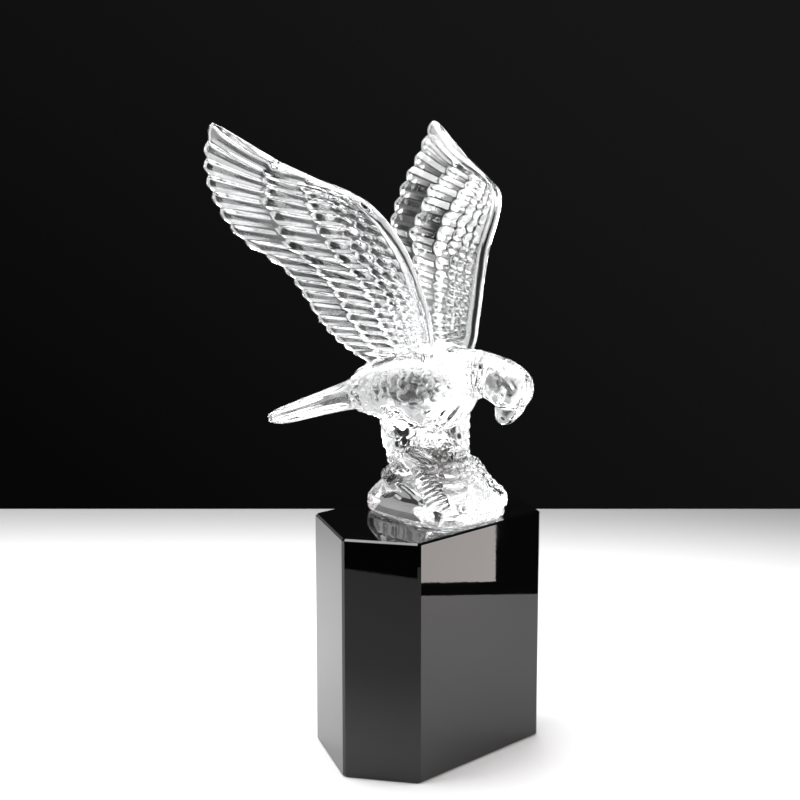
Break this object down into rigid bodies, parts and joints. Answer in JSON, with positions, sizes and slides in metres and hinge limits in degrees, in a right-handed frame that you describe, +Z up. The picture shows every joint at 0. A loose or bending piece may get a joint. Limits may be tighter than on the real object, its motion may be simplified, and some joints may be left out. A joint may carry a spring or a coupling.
{
  "type": "crystal eagle sculpture",
  "caption": "Clear crystal eagle alighting on a rock with both wings raised, cast as one piece and glued on a six-sided black glass plinth.",
  "frame": {"origin": "middle of the plinth's underside", "axes": "+Z up; the eagle faces -Y, along the plinth's widest face; +X is the eagle's left"},
  "size_m": [0.1202, 0.1342, 0.2365],
  "materials": {
    "clear_crystal": "polished clear crystal with moulded feathers",
    "black_crystal": "mirror-polished black crystal"
  },
  "bodies": {
    "root": {"eagle": "clear_crystal", "plinth": "black_crystal"}
  },
  "joints": []
}
